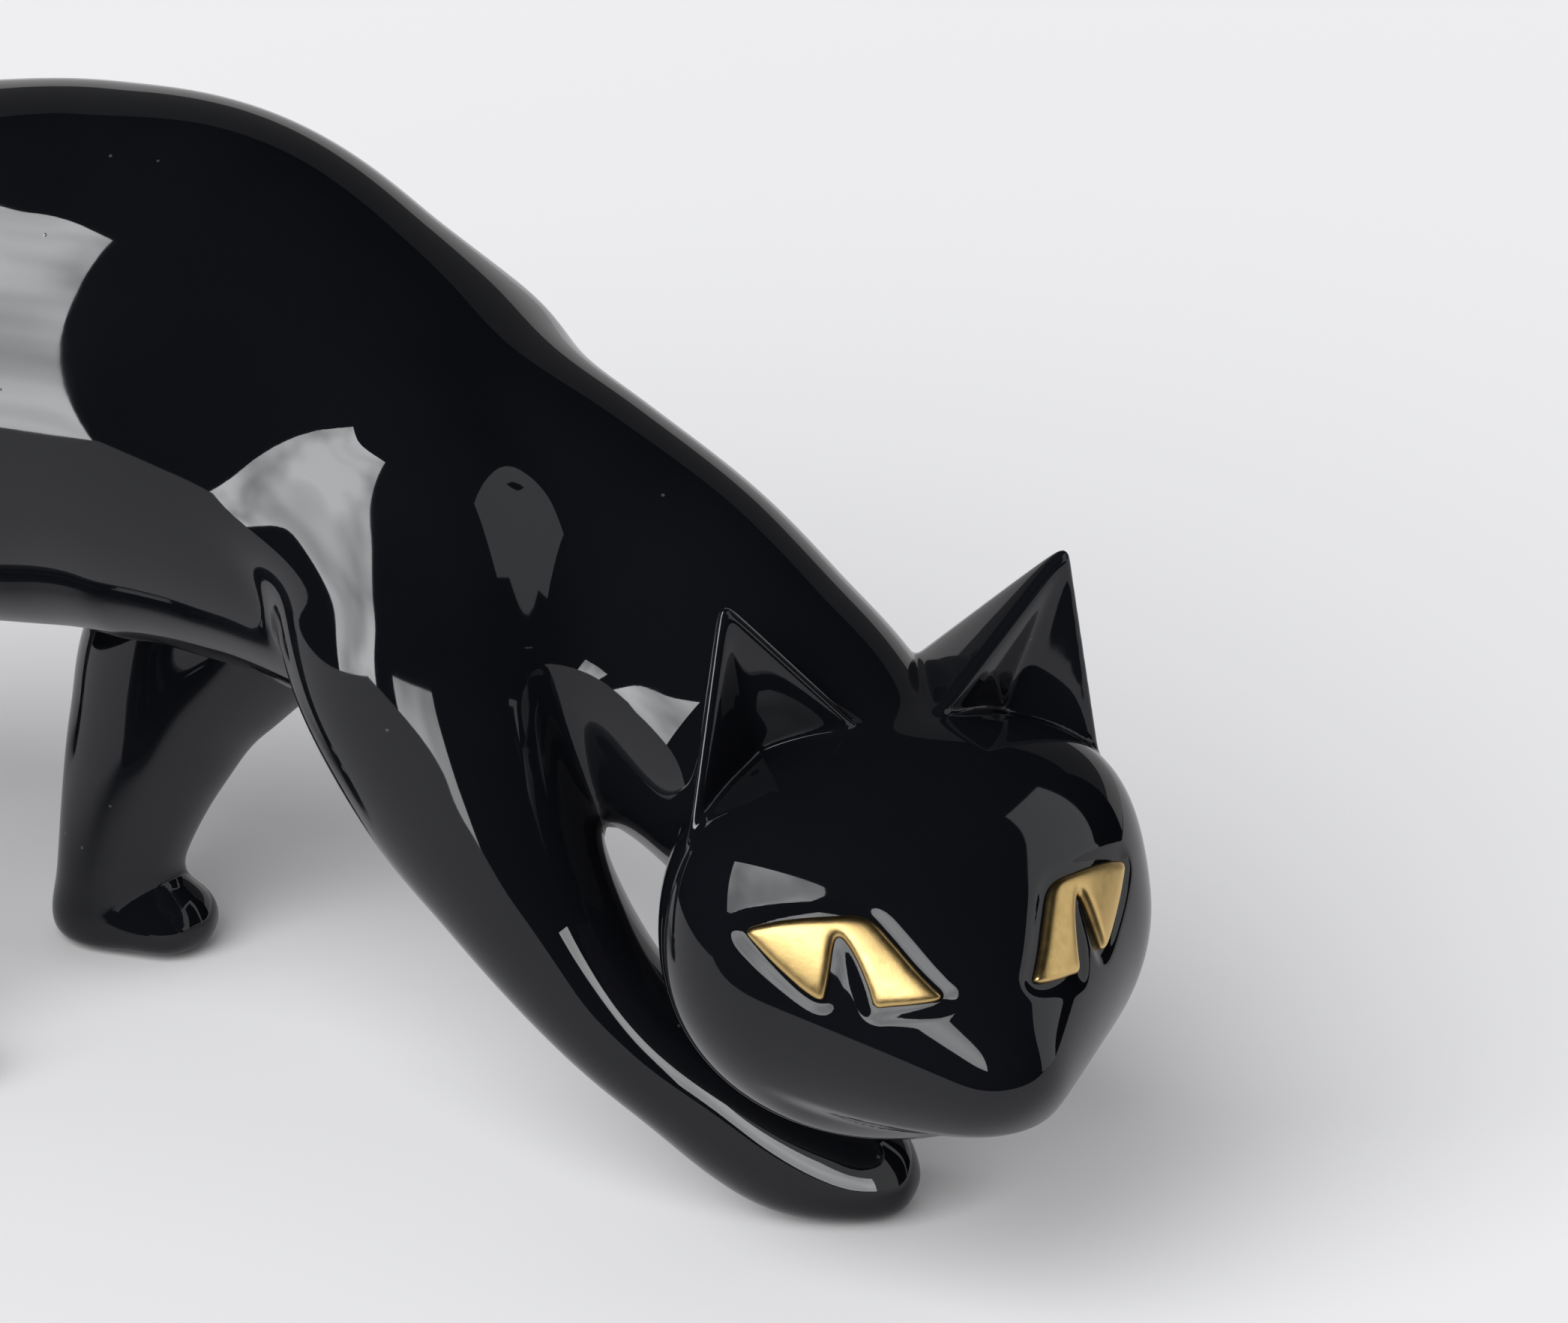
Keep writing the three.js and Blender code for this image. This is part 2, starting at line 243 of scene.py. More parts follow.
def skin(rings, start, end):
    """Rings of points, closed at both ends by a point."""
    count, around = rings.shape[:2]
    points = np.vstack([start, rings.reshape(-1, 3), end])
    k = np.arange(around)
    last = 1 + (count - 1) * around
    triangles = [1 + tube(count, around),
                 np.stack([0 * k, 1 + (k + 1) % around, 1 + k], -1),
                 np.stack([0 * k + len(points) - 1, last + k, last + (k + 1) % around], -1)]
    return points, np.vstack(triangles)


def loft(stations, reference, segments=96, steps=10):
    """A skin through the stations, with elliptical sections whose second axis leans to the reference."""
    stations = np.array(stations, float)
    t = np.linspace(0, len(stations) - 1, (len(stations) - 1) * steps + 1)
    centre = spline(stations[:, :3], t)
    size = spline(stations[:, 3:], t)
    forward = np.gradient(centre, axis=0)
    forward /= np.linalg.norm(forward, axis=1)[:, None]
    along = reference - forward * (forward @ reference)[:, None]
    along /= np.linalg.norm(along, axis=1)[:, None]
    across = np.cross(along, forward)
    angle = np.linspace(0, 2 * math.pi, segments, endpoint=False)
    rings = (centre[:, None] + across[:, None] * (size[:, 0, None] * np.cos(angle))[..., None]
             + along[:, None] * (size[:, 1, None] * np.sin(angle))[..., None])
    bulge = 0.45 * size.min(axis=1)
    return skin(rings, centre[0] - forward[0] * bulge[0], centre[-1] + forward[-1] * bulge[-1])


def egg(centre, front, back, side, up, down, crown):
    """An egg with its own reach on each side of its centre, and squarer above in front."""
    polar = np.linspace(0, math.pi, 100)[1:-1]
    angle = np.linspace(0, 2 * math.pi, 160, endpoint=False)
    p, a = np.meshgrid(polar, angle, indexing="ij")
    x, y, z = np.sin(p) * np.cos(a), np.sin(p) * np.sin(a), -np.cos(p)
    wide = 1 + crown * np.maximum(z, 0) ** 2 * (0.5 + 0.5 * x)
    rings = np.stack([centre[0] + x * np.where(x > 0, front, back), centre[1] + y * side * wide,
                      centre[2] + z * np.where(z > 0, up, down)], -1)
    return skin(rings, (centre[0], centre[1], centre[2] - down), (centre[0], centre[1], centre[2] + up))


def hull(skins):
    """The skin stretched over several others."""
    net = bmesh.new()
    for point in np.vstack([points for points, _ in skins]):
        net.verts.new(point)
    bmesh.ops.convex_hull(net, input=net.verts)
    net.verts.index_update()
    points = np.array([vertex.co for vertex in net.verts])
    triangles = np.array([[vertex.index for vertex in face.verts] for face in net.faces])
    net.free()
    used, triangles = np.unique(triangles, return_inverse=True)
    return points[used], triangles.reshape(-1, 3)


def ear(side):
    """A cone with a valley between two panels in front and a round back."""
    out, deep, near = (np.array(p, float) for p in EAR_FRONT)
    rear = np.array(EAR_BACK, float)
    t = np.linspace(0, 1, 40)[1:-1, None]
    behind = (1 - t) ** 2 * near + 2 * t * (1 - t) * rear + t ** 2 * out
    s = np.linspace(0, 1, 12)[:, None]
    around = np.vstack([out + (deep - out) * s[:-1], deep + (near - deep) * s, behind])
    rings = np.stack([around + (np.array(EAR_TIP) - around) * t for t in np.linspace(0, 0.96, 30)])
    points, triangles = skin(rings, around.mean(axis=0), EAR_TIP)
    points[:, 1] *= side
    return to_world(points), triangles if side > 0 else triangles[:, ::-1]


def to_world(local):
    return np.asarray(local, float) @ HEAD_TURN.T + HEAD_CENTRE


def to_head(points):
    return (points - HEAD_CENTRE) @ HEAD_TURN


# ---------------------------------------------------------------- fields
def smin(a, b, k):
    """The smaller of two values, rounded off where they differ by less than k."""
    h = np.maximum(k - np.abs(a - b), 0) / k
    return np.minimum(a, b) - h ** 3 * k / 6


def smax(a, b, k):
    return -smin(-a, -b, k)


def step_up(x, low, high):
    """Rises smoothly from 0 at low to 1 at high."""
    t = np.clip((x - low) / (high - low), 0, 1)
    return t * t * (3 - 2 * t)


def blur(values, sigma):
    """Gaussian blur, sigma in samples."""
    reach = int(math.ceil(3 * sigma))
    weights = np.exp(-0.5 * (np.arange(-reach, reach + 1) / sigma) ** 2).astype(np.float32)
    weights /= weights.sum()
    for axis in range(3):
        pad = [(reach, reach) if i == axis else (0, 0) for i in range(3)]
        padded = np.pad(values, pad, mode="edge")
        size = values.shape[axis]
        values = sum(w * padded.take(range(i, i + size), axis) for i, w in enumerate(weights))
    return values


def cubic(u):
    """Catmull-Rom weights of the four samples round a point at u between the middle two."""
    return 0.5 * np.stack([-u ** 3 + 2 * u ** 2 - u, 3 * u ** 3 - 5 * u ** 2 + 2,
                           -3 * u ** 3 + 4 * u ** 2 + u, u ** 3 - u ** 2])


def cubic_slope(u):
    return 0.5 * np.stack([-3 * u ** 2 + 4 * u - 1, 9 * u ** 2 - 10 * u,
                           -9 * u ** 2 + 8 * u + 1, 3 * u ** 2 - 2 * u])


class Grid:
    """Signed distances sampled in a box, `step` millimetres apart."""

    def __init__(self, low, high, step):
        self.low = np.array(low, float)
        self.step = step
        self.shape = tuple(int(n) for n in np.ceil((np.array(high) - self.low) / step) + 1)
        self.values = None

    def points(self):
        axes = [self.low[i] + self.step * np.arange(n) for i, n in enumerate(self.shape)]
        return np.stack(np.meshgrid(*axes, indexing="ij"), -1)

    def distance(self, mesh, reach):
        """The signed distance to a closed mesh, right to within `reach` of it."""
        points, triangles = mesh
        local = ((points - self.low) / self.step).astype(np.float32)
        level = openvdb.FloatGrid.createLevelSetFromPolygons(
            local, triangles=triangles.astype(np.uint32),
            transform=openvdb.createLinearTransform(voxelSize=1.0), halfWidth=reach / self.step)
        values = np.zeros(self.shape, np.float32)
        level.copyToArray(values)
        return values * np.float32(self.step)

    def window(self, points, reach):
        """The part of the grid within reach of the points: its slices and its own grid."""
        low = np.floor((points.min(axis=0) - reach - self.low) / self.step).astype(int)
        high = np.ceil((points.max(axis=0) + reach - self.low) / self.step).astype(int) + 1
        low, high = np.maximum(low, 0), np.minimum(high, self.shape)
        part = Grid(self.low + low * self.step, self.low + (high - 1) * self.step, self.step)
        part.shape = tuple(high - low)
        return tuple(slice(a, b) for a, b in zip(low, high)), part

    def blend(self, mesh, width_at):
        """Adds a skin, blended over the width that width_at gives at each x and z."""
        x, z = (self.low[i] + self.step * np.arange(self.shape[i]) for i in (0, 2))
        widths = np.broadcast_to(width_at(x[:, None, None], z), (len(x), 1, len(z))).astype(np.float32)
        window, part = self.window(mesh[0], widths.max())
        skin_values = part.distance(mesh, widths.max())
        self.values[window] = smin(self.values[window], skin_values, widths[window[0], :, window[2]])

    def at(self, points, slope=False):
        """The field at the points by cubic interpolation, or its slope."""
        where = np.clip((points - self.low) / self.step, 1, np.array(self.shape) - 2.01)
        base = np.floor(where).astype(int)
        part = where - base
        flat = self.values.ravel()
        strides = (self.shape[1] * self.shape[2], self.shape[2], 1)
        weights = [cubic(part[:, i]) for i in range(3)]
        kinds = [weights]
        if slope:
            tilts = [cubic_slope(part[:, i]) / self.step for i in range(3)]
            kinds = [[tilts[j] if i == j else weights[j] for j in range(3)] for i in range(3)]
        total = np.zeros((len(kinds), len(points)))
        for i in range(4):
            for j in range(4):
                row = (base[:, 0] + i - 1) * strides[0] + (base[:, 1] + j - 1) * strides[1] + base[:, 2] - 1
                sides = [w[0][i] * w[1][j] for w in kinds]
                for k in range(4):
                    value = flat[row + k]
                    for n, w in enumerate(kinds):
                        total[n] += sides[n] * w[2][k] * value
        return total.T if slope else total[0]

    def sample(self, other):
        """Takes another grid's field, by cubic interpolation."""
        values = other.values
        for axis in range(3):
            where = (self.low[axis] + self.step * np.arange(self.shape[axis]) - other.low[axis]) / other.step
            base = np.clip(np.floor(where).astype(int), 1, other.shape[axis] - 3)
            along = [-1 if i == axis else 1 for i in range(3)]
            values = sum(w.astype(np.float32).reshape(along) * values.take(base + i - 1, axis)
                         for i, w in enumerate(cubic(where - base)))
        self.values = values

    def surface(self):
        """Points and triangles where the field is zero."""
        grid = openvdb.FloatGrid(1000.0)
        grid.copyFromArray(self.values)
        points, triangles, quads = grid.convertToPolygons()
        points = points.astype(float) * self.step + self.low
        quads = quads.astype(int)
        triangles = triangles.astype(int).reshape(-1, 3)
        triangles = np.vstack([triangles, quads[:, [0, 1, 2]], quads[:, [0, 2, 3]]])
        for _ in range(2):
            slope = self.at(points, slope=True)
            error = np.clip(self.at(points), -0.5 * self.step, 0.5 * self.step)
            points -= slope * (error / np.maximum((slope ** 2).sum(axis=1), 0.2))[:, None]
        a, b, c = (points[triangles[:, k]] for k in range(3))
        out = (np.cross(b - a, c - a) * slope[triangles[:, 0]]).sum()
        return points, triangles if out > 0 else triangles[:, ::-1]


# ---------------------------------------------------------------- parting the castings
def cut(points, triangles, height):
    """Parts each triangle where height crosses zero: points, triangles, and which lie above."""
    height = np.where(np.abs(height) < 1e-5, 1e-5, height)
    above = height > 0
    ups = above[triangles].sum(axis=1)
    whole = (ups == 0) | (ups == 3)
    crossing = triangles[~whole]
    odd = np.where(ups[~whole] == 1, above[crossing].argmax(axis=1), (~above[crossing]).argmax(axis=1))
    a, b, c = (crossing[np.arange(len(crossing)), (odd + k) % 3] for k in range(3))
    edges = np.sort(np.vstack([np.stack([a, b], 1), np.stack([a, c], 1)]), axis=1)
    pairs, which = np.unique(edges, axis=0, return_inverse=True)
    u, v = pairs.T
    share = (height[u] / (height[u] - height[v]))[:, None]
    ab, ac = np.split(len(points) + which.ravel(), 2)
    points = np.vstack([points, points[u] + (points[v] - points[u]) * share])
    sides = np.concatenate([above[triangles[whole, 0]], above[a], ~above[a], ~above[a]])
    triangles = np.vstack([triangles[whole], np.stack([a, ab, ac], 1), np.stack([ab, b, c], 1),
                           np.stack([ab, c, ac], 1)])
    return points, triangles, sides


def patches(triangles, count):
    """A label for each point, shared by all points that triangles join to it."""
    label = np.arange(count)
    a, b = triangles.ravel(), triangles[:, [1, 2, 0]].ravel()
    while True:
        first, second = label[a], label[b]
        if (first == second).all():
            return label
        low = np.minimum(first, second)
        np.minimum.at(label, first, low)
        np.minimum.at(label, second, low)
        while (label != label[label]).any():
            label = label[label]


def free(points, triangles, height, inside):
    """Frees the casting round the point inside, where height is above zero.

    Returns the points with those of the cut, the casting's triangles and all the others."""
    points, triangles, above = cut(points, triangles, height)
    label = patches(triangles[above], len(points))
    used = np.unique(triangles[above])
    nearest = used[np.linalg.norm(points[used] - inside, axis=1).argmin()]
    mine = above & (label[triangles[:, 0]] == label[nearest])
    return points, triangles[mine], triangles[~mine]


def beyond(points, at, way):
    """How far the points lie beyond a plane through `at`, square to `way`."""
    way = np.array(way, float)
    return (points - at) @ (way / np.linalg.norm(way))


def caps(points, triangles):
    """Triangles that close each open edge of a mesh."""
    edges = np.vstack([triangles[:, [0, 1]], triangles[:, [1, 2]], triangles[:, [2, 0]]])
    key = edges[:, 0] * len(points) + edges[:, 1]
    twin = edges[:, 1] * len(points) + edges[:, 0]
    following = dict(edges[~np.isin(key, twin)].tolist())
    closing = [np.zeros((0, 3), int)]
    while following:
        start, after = following.popitem()
        loop = [start]
        while after != start:
            loop.append(after)
            after = following.pop(after)
        loop = np.array(loop)
        fill = loop[np.array(tessellate_polygon([[Vector(p) for p in points[loop]]]))]
        a, b, c = points[fill[:, 0]], points[fill[:, 1]], points[fill[:, 2]]
        turn = np.cross(b - a, c - a).sum(axis=0)
        ring = points[loop] - points[loop].mean(axis=0)
        outline = np.cross(ring, np.roll(ring, -1, axis=0)).sum(axis=0)
        closing.append(fill[:, ::-1] if turn @ outline > 0 else fill)
    return np.vstack(closing)


# ---------------------------------------------------------------- the cat's body
BODY_STEP = 1.25
HEAD_STEP = 0.5
EYE_STEP = 0.25
BODY_BOX = ((-294, -76, -8), (212, 60, 194))
HEAD_BOX = ((104, -75, 18), (210, 26, 131))
WIDEST_BLEND = 26
INNER_BLEND = 4          # between the legs, and where a leg meets its paw
HIP_BLEND = 25
LEFT_SHOULDER_BLEND = 22
NECK_BLEND = 10
TAIL_BLEND = 10
BODY_SMOOTHING = 2
SOLE_ROUNDING = 9        # of the glaze round the flat soles


def rising(low_width, high_width, low=98, high=136, lean=0):
    """Widths of a blend that is tight between the legs and generous at the shoulders.

    They grow between the heights low and high, which fall by `lean` for each millimetre forward."""
    return lambda x, z: low_width + (high_width - low_width) * step_up(z + lean * x, low, high)


def always(width):
    return lambda x, z: width


def in_world(mesh):
    return to_world(mesh[0]), mesh[1]


body = Grid(*BODY_BOX, BODY_STEP)
body.values = body.distance(loft(TORSO, UP), WIDEST_BLEND)
body.blend(loft(RIGHT_HINDLEG, FORE), rising(INNER_BLEND, HIP_BLEND))
body.blend(loft(LEFT_HINDLEG, FORE), rising(INNER_BLEND, HIP_BLEND))
body.blend(loft(TAIL, UP), always(TAIL_BLEND))
for paw in (LEFT_FOREPAW, RIGHT_HINDPAW, LEFT_HINDPAW):
    body.blend(loft(paw, UP), always(INNER_BLEND))
body.blend(loft(LEFT_FORELEG, FORE), rising(INNER_BLEND, LEFT_SHOULDER_BLEND))
body.blend(in_world(hull([egg(**CRANIUM), egg(**MUZZLE)])), always(NECK_BLEND))
body.blend(loft(RIGHT_FORELEG, FORE_AND_UP), rising(2.5, 21, low=113, high=131, lean=0.24))
body.values = blur(body.values, BODY_SMOOTHING / BODY_STEP)
# The soles are flat on the ground.
heights = body.low[2] + body.step * np.arange(body.shape[2])
body.values = smax(body.values, -heights.astype(np.float32), SOLE_ROUNDING)

# ---------------------------------------------------------------- the head
FACE_REACH = 48          # from the head's centre to well in front of the face
RAY_STEP = 0.25
NEARBY = 6               # distances beyond this from an eye or an ear are of no use
EYE_SMOOTHNESS = 8       # points of an eye's outline for each of its corners
WALL_REACH = 8           # of the wall along an eye's outline, out of the face and into it
WALL_RINGS = 9
SOCKET_DEPTH = 0.6
SOCKET_WIDTH = 3.0
GOLD_HEIGHT = 0.8
GOLD_BEVEL = 2.6
GOLD_ROOT = 0.3          # how far the gold reaches below the socket's floor
GOLD_MARGIN = 4          # of the gold's grid round the eye's outline
LIP_LINE = -31           # height of the mouth at the middle of the face
LIP_CURVE = 0.0105       # how fast it rises to the sides
LIP_STEP = 0.9           # height over which the face steps back to the jaw
LIP_FRONT = (2, 14)      # the step deepens between these, forward of the head's centre,
LIP_SIDE = (24, 36)      # and dies out between these, to either side
JAW_RECESS = 2
JAW_BOX = ((-5, 45), (-32, 32), (-42, -16))
EAR_BLEND = 1.8
EAR_ROUNDING = 1.8       # in samples of the head's grid
EAR_SWELL = 1.1          # makes up for what rounding takes off the edges
HEAD_ROUNDING = 0.8      # in samples


def on_face(places):
    """Points of the face at places seen from in front, given as (left, up) in the head's frame."""
    depth = np.arange(FACE_REACH, 0, -RAY_STEP)
    rays = np.empty((len(places), len(depth), 3))
    rays[..., 0] = depth
    rays[..., 1:] = places[:, None]
    values = body.at(to_world(rays.reshape(-1, 3))).reshape(len(places), -1)
    first = (values < 0).argmax(axis=1)
    rows = np.arange(len(places))
    before, after = values[rows, first - 1], values[rows, first]
    x = depth[first - 1] - RAY_STEP * before / (before - after)
    return to_world(np.column_stack([x, places]))


def eye_wall(side):
    """A closed wall square to the face along the outline of an eye, and the outline itself."""
    corners = np.array(EYE)
    count = len(corners)
    places = spline(np.vstack([corners] * 3), count + np.arange(0, count, 1 / EYE_SMOOTHNESS))
    places = places * (side, 1) + (FACE_SHIFT, 0)
    outline = on_face(places)
    out = body.at(outline, slope=True)
    out /= np.linalg.norm(out, axis=1)[:, None]
    rings = np.stack([outline + out * level for level in np.linspace(-WALL_REACH, WALL_REACH, WALL_RINGS)])
    fill = np.array(tessellate_polygon([[Vector((y, z, 0)) for y, z in places]]))
    triangles = np.vstack([tube(WALL_RINGS, len(places)), fill, fill + (WALL_RINGS - 1) * len(places)])
    return (rings.reshape(-1, 3), triangles), outline


head = Grid(*HEAD_BOX, HEAD_STEP)
head.sample(body)
eyes = {side: eye_wall(side) for side in (-1, 1)}
for wall, outline in eyes.values():
    window, part = head.window(outline, NEARBY + 1)
    beside = blur(part.distance(wall, NEARBY), 1)
    head.values[window] += SOCKET_DEPTH * (1 - step_up(beside, 0.2, SOCKET_WIDTH))

# The lower jaw lies back under the lip.
window, part = head.window(to_world(list(product(*JAW_BOX))), 0)
local = to_head(part.points())
lip = LIP_LINE + LIP_CURVE * local[..., 1] ** 2 - local[..., 2]
fade = step_up(local[..., 0], *LIP_FRONT) * (1 - step_up(np.abs(local[..., 1]), *LIP_SIDE))
head.values[window] += (JAW_RECESS * fade * step_up(lip, 0, LIP_STEP)).astype(np.float32)

bare_head = Grid(*HEAD_BOX, HEAD_STEP)
bare_head.values = head.values.copy()
ears = {}
for side in (-1, 1):
    shell = ear(side)
    window, ears[side] = head.window(shell[0], NEARBY)
    ears[side].values = blur(ears[side].distance(shell, NEARBY), EAR_ROUNDING) - EAR_SWELL
    head.values[window] = smin(head.values[window], ears[side].values, EAR_BLEND)
head.values = blur(head.values, HEAD_ROUNDING)


# ---------------------------------------------------------------- materials
def nodes_of(name):
    material = bpy.data.materials.new(name)
    material.use_nodes = True
    tree = material.node_tree
    return material, tree, tree.nodes["Principled BSDF"]


def noise(tree, where, scale, detail=3):
    node = tree.nodes.new("ShaderNodeTexNoise")
    node.inputs["Scale"].default_value = scale
    node.inputs["Detail"].default_value = detail
    tree.links.new(where, node.inputs["Vector"])
    return node.outputs["Fac"]


def ramp(tree, value, low, high, to_low, to_high):
    """Takes values from low..high to to_low..to_high."""
    node = tree.nodes.new("ShaderNodeMapRange")
    for key, number in (("From Min", low), ("From Max", high), ("To Min", to_low), ("To Max", to_high)):
        node.inputs[key].default_value = number
    tree.links.new(value, node.inputs["Value"])
    return node.outputs["Result"]


def mix(tree, factor, first, second):
    """A colour between two, each given as a tuple or as a node's output."""
    node = tree.nodes.new("ShaderNodeMix")
    node.data_type = "RGBA"
    tree.links.new(factor, node.inputs[0])
    for socket, colour in ((node.inputs[6], first), (node.inputs[7], second)):
        if isinstance(colour, tuple):
            socket.default_value = (*colour, 1)
        else:
            tree.links.new(colour, socket)
    return node.outputs[2]


def bump(tree, height, distance, under=None):
    node = tree.nodes.new("ShaderNodeBump")
    node.inputs["Distance"].default_value = distance
    tree.links.new(height, node.inputs["Height"])
    if under is not None:
        tree.links.new(under, node.inputs["Normal"])
    return node.outputs["Normal"]


def specks(tree, where, scale, size):
    """Sparse dots: 1 in the middle of some of the cells, 0 elsewhere."""
    node = tree.nodes.new("ShaderNodeTexVoronoi")
    node.inputs["Scale"].default_value = scale
    tree.links.new(where, node.inputs["Vector"])
    return ramp(tree, node.outputs["Distance"], size, size * 0.5, 0, 1)


def black_glaze():
    """Mirror-bright black, a little wavy where the glaze flowed, with motes of dust fired in."""
    material, tree, shader = nodes_of("black_glaze")
    where = tree.nodes.new("ShaderNodeTexCoord").outputs["Object"]
    cloud = noise(tree, where, 22, 4)
    colour = mix(tree, cloud, (0.0022, 0.0024, 0.0032), (0.0052, 0.0056, 0.0074))
    dust = specks(tree, where, 90, 0.035)
    tree.links.new(mix(tree, dust, colour, (0.05, 0.05, 0.055)), shader.inputs["Base Color"])
    tree.links.new(ramp(tree, noise(tree, where, 60, 5), 0.3, 0.7, 0.018, 0.05), shader.inputs["Roughness"])
    shader.inputs["IOR"].default_value = 1.5
    flow = bump(tree, noise(tree, where, 45, 1), 0.0001)
    peel = bump(tree, noise(tree, where, 260, 2), 0.000002, under=flow)
    tree.links.new(bump(tree, dust, 0.00002, under=peel), shader.inputs["Normal"])
    return material


def gold_lustre():
    """Brushed-on gold, uneven in tone and in sheen."""
    material, tree, shader = nodes_of("gold_lustre")
    where = tree.nodes.new("ShaderNodeTexCoord").outputs["Object"]
    tone = mix(tree, noise(tree, where, 160, 3), (0.77, 0.53, 0.21), (0.84, 0.60, 0.26))
    tree.links.new(tone, shader.inputs["Base Color"])
    shader.inputs["Metallic"].default_value = 1
    tree.links.new(ramp(tree, noise(tree, where, 700, 5), 0.3, 0.7, 0.3, 0.38), shader.inputs["Roughness"])
    brushed = bump(tree, noise(tree, where, 1500, 3), 0.000012)
    tree.links.new(bump(tree, noise(tree, where, 160, 1), 0.00004, under=brushed), shader.inputs["Normal"])
    return material


FINISHES = {"black_glaze": black_glaze(), "gold_lustre": gold_lustre()}

# ---------------------------------------------------------------- pieces
DESIGN_MIDDLE = np.array([-42.61, -8.36])    # of the footprint, in design coordinates
OFFSET = np.append((np.array(CAD_BOX[0]) + CAD_BOX[1])[:2] * 500 - DESIGN_MIDDLE, 0)


def make(name, field, points, triangles, finish="black_glaze"):
    """A piece from its outer triangles: closed at its seams, shaded by the slope of its field."""
    closing = caps(points, triangles)
    used, index = np.unique(np.vstack([triangles, closing]), return_inverse=True)
    index = index.reshape(-1, 3)
    points = points[used]
    mesh = bpy.data.meshes.new(name)
    mesh.from_pydata(((points + OFFSET) * 0.001).tolist(), [], index.tolist())
    slope = field.at(points, slope=True)
    slope /= np.maximum(np.linalg.norm(slope, axis=1)[:, None], 1e-9)
    corner = slope[index]
    a, b, c = (points[index[len(triangles):, k]] for k in range(3))
    flat = np.cross(b - a, c - a)
    corner[len(triangles):] = (flat / np.maximum(np.linalg.norm(flat, axis=1)[:, None], 1e-9))[:, None]
    mesh.shade_smooth()
    mesh.normals_split_custom_set(corner.reshape(-1, 3).tolist())
    mesh.materials.append(FINISHES[finish])
    piece = bpy.data.objects.new(name + "_piece", mesh)
    bpy.context.scene.collection.objects.link(piece)
    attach(piece, "root")
    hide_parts(name)


points, rest = body.surface()
for name, (at, way, inside) in SEAMS.items():
    points, freed, rest = free(points, rest, beyond(points, at, way), inside)
    if name != "head_casting":
        make(name, body, points, freed)
make("torso_casting", body, points, rest)

points, rest = head.surface()
at, way, inside = SEAMS["head_casting"]
points, rest, _ = free(points, rest, beyond(points, at, way), inside)
for side, name in ((-1, "right_ear"), (1, "left_ear")):
    part = ears[side]
    low, high = part.low, part.low + part.step * (np.array(part.shape) - 1)
    near = ((points > low + 1) & (points < high - 1)).all(axis=1)
    height = np.full(len(points), -1.0)
    height[near] = bare_head.at(points[near]) - part.at(points[near])
    points, freed, rest = free(points, rest, height, to_world((EAR_TIP[0], side * EAR_TIP[1], EAR_TIP[2])))
    make(name, head, points, freed)
make("head_casting", head, points, rest)

for side, name in ((-1, "right_eye_gilding"), (1, "left_eye_gilding")):
    wall, outline = eyes[side]
    pad = Grid(outline.min(axis=0) - GOLD_MARGIN, outline.max(axis=0) + GOLD_MARGIN, EYE_STEP)
    pad.sample(body)
    beside = blur(pad.distance(wall, GOLD_MARGIN + 1), 1.5)
    relief = smax(beside, pad.values - GOLD_HEIGHT, GOLD_BEVEL)
    pad.values = blur(smax(relief, -pad.values - SOCKET_DEPTH - GOLD_ROOT, 0.5), 1)
    points, triangles = pad.surface()
    make(name, pad, points, triangles, "gold_lustre")

# ---------------------------------------------------------------- studio
AIM = np.array([120, 13, 90])      # what the camera looks at, in design coordinates
CAMERA_AZIMUTH = 25
CAMERA_ELEVATION = 22
CAMERA_DISTANCE = 1.3
CAMERA_LENS = 172
target = Vector((AIM + OFFSET) * 0.001)


def toward(azimuth, elevation):
    """The direction from the object at an azimuth round it and an elevation above the horizon."""
    a, e = math.radians(azimuth), math.radians(elevation)
    return Vector((math.sin(a) * math.cos(e), -math.cos(a) * math.cos(e), math.sin(e)))


def aim(obj, stand, at):
    obj.location = stand
    obj.rotation_euler = (at - stand).to_track_quat("-Z", "Y").to_euler()
    bpy.context.scene.collection.objects.link(obj)
    return obj


PAPER = (0.83, 0.83, 0.842)
ahead = toward(CAMERA_AZIMUTH, 0)
aside = Vector((-ahead.y, ahead.x, 0))


def spot(forward, right, height):
    """A point of the studio, in metres toward the camera and to its right from the target."""
    return Vector((target.x, target.y, 0)) + ahead * forward + aside * right + Vector((0, 0, height))


def sheet(name, corners, colour, glow=None, clouding=0):
    """A flat sheet of paper, or of light when it glows, uneven by the share `clouding`."""
    mesh = bpy.data.meshes.new(name)
    mesh.from_pydata(corners, [], [(0, 1, 2, 3)])
    card = bpy.data.objects.new(name, mesh)
    bpy.context.scene.collection.objects.link(card)
    material, tree, shader = nodes_of(name)
    shader.inputs["Base Color"].default_value = (*colour, 1) if glow is None else (0, 0, 0, 1)
    shader.inputs["Roughness"].default_value = 0.9
    shader.inputs["Specular IOR Level"].default_value = 0.1
    if glow is not None:
        shader.inputs["Emission Color"].default_value = (*colour, 1)
        shader.inputs["Emission Strength"].default_value = glow
        if clouding:
            around = tree.nodes.new("ShaderNodeTexCoord").outputs["Object"]
            folds = ramp(tree, noise(tree, around, 2.2, 2), 0.35, 0.65,
                         glow * (1 - clouding), glow * (1 + clouding))
            tree.links.new(folds, shader.inputs["Emission Strength"])
    mesh.materials.append(material)
    return card


def level(name, near, far, left, right, height, colour=PAPER):
    """A sheet that lies flat, from its near edge to its far one."""
    return sheet(name, [spot(near, left, height), spot(near, right, height), spot(far, right, height),
                        spot(far, left, height)], colour)


def upright(name, behind, half_width, low, high, glow):
    """A glowing sheet that stands behind the set."""
    return sheet(name, [spot(-behind, -half_width, low), spot(-behind, half_width, low),
                        spot(-behind, half_width, high), spot(-behind, -half_width, high)], PAPER, glow)


